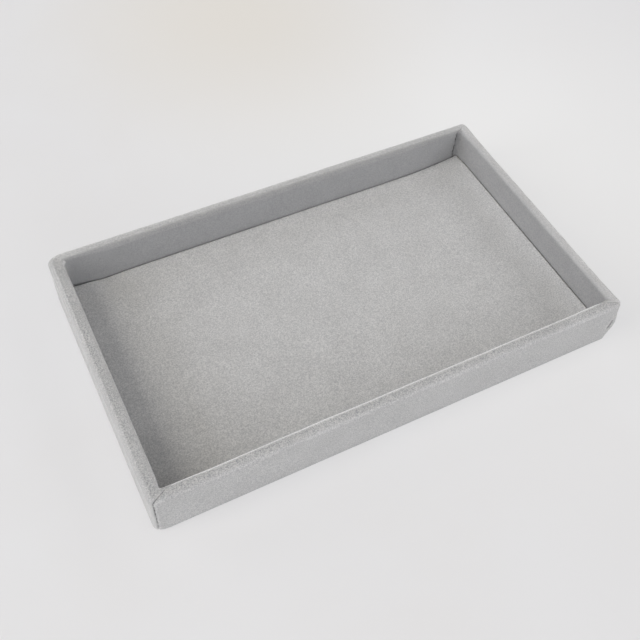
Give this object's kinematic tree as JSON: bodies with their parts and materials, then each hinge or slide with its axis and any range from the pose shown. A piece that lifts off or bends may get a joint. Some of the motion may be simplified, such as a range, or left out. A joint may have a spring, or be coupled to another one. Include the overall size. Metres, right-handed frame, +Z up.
{
  "type": "jewelry tray",
  "caption": "Shallow open rectangular tray for jewelry, wrapped in grey velvet, with a padded rim and a loose-laid padded floor panel.",
  "frame": {"origin": "centre of the underside, on the surface that the tray stands on", "axes": "+X along the long side to the right, +Y to the back, +Z up"},
  "size_m": [0.21, 0.125, 0.025],
  "materials": {
    "velvet": "short dense pile, matte",
    "mdf": "sawn fibreboard",
    "foam": "fine open-cell foam",
    "card": "grey board",
    "backing_paper": "flocked paper, matte",
    "brad_wire": "drawn wire"
  },
  "bodies": {
    "root": {"base_board": "mdf", "front_wall_board": "mdf", "back_wall_board": "mdf", "left_wall_board": "mdf", "right_wall_board": "mdf", "corner_brads": "brad_wire", "base_brads": "brad_wire", "front_rim_foam": "foam", "back_rim_foam": "foam", "left_rim_foam": "foam", "right_rim_foam": "foam", "front_wall_velvet": "velvet", "back_wall_velvet": "velvet", "left_wall_velvet": "velvet", "right_wall_velvet": "velvet", "floor_card": "card", "floor_foam": "foam", "floor_velvet": "velvet", "underside_sheet": "backing_paper"}
  },
  "joints": []
}
